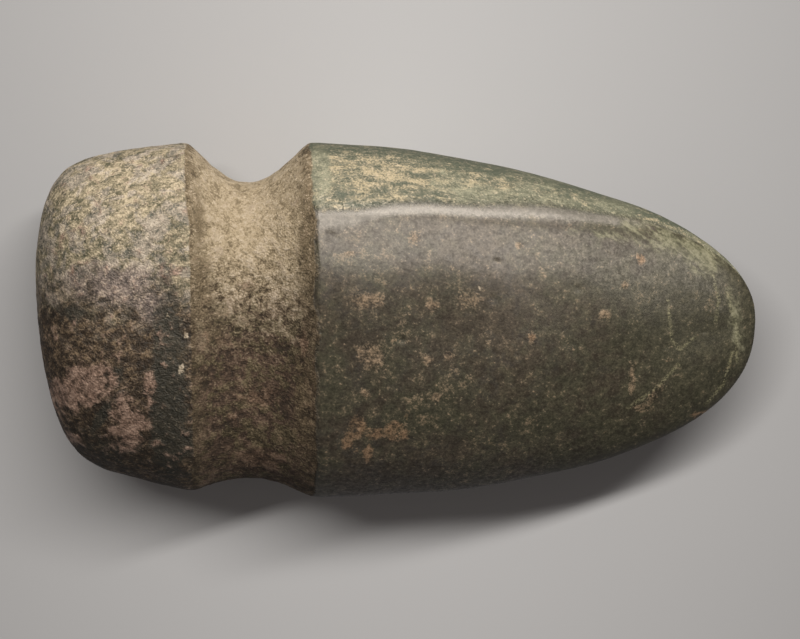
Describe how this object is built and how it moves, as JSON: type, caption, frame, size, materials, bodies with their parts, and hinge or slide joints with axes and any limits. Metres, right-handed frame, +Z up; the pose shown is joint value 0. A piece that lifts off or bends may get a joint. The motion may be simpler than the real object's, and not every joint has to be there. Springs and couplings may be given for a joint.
{
  "type": "grooved stone axe head",
  "caption": "Ancient axe head of mottled greenstone, with a polished blade, a blunt pecked poll and a groove pecked round it for a wooden haft.",
  "frame": {"origin": "under the middle of the outline, on the surface the axe lies on", "axes": "+X towards the cutting edge, +Y towards the narrow side with the deepest part of the groove, +Z up through the thickness"},
  "size_m": [0.18, 0.0898, 0.0568],
  "materials": {
    "mottled_greenstone": "dark green-grey stone mottled tan and cream, semi-gloss where polished, matt where pecked"
  },
  "bodies": {
    "root": {"axe_head": "mottled_greenstone"}
  },
  "joints": []
}
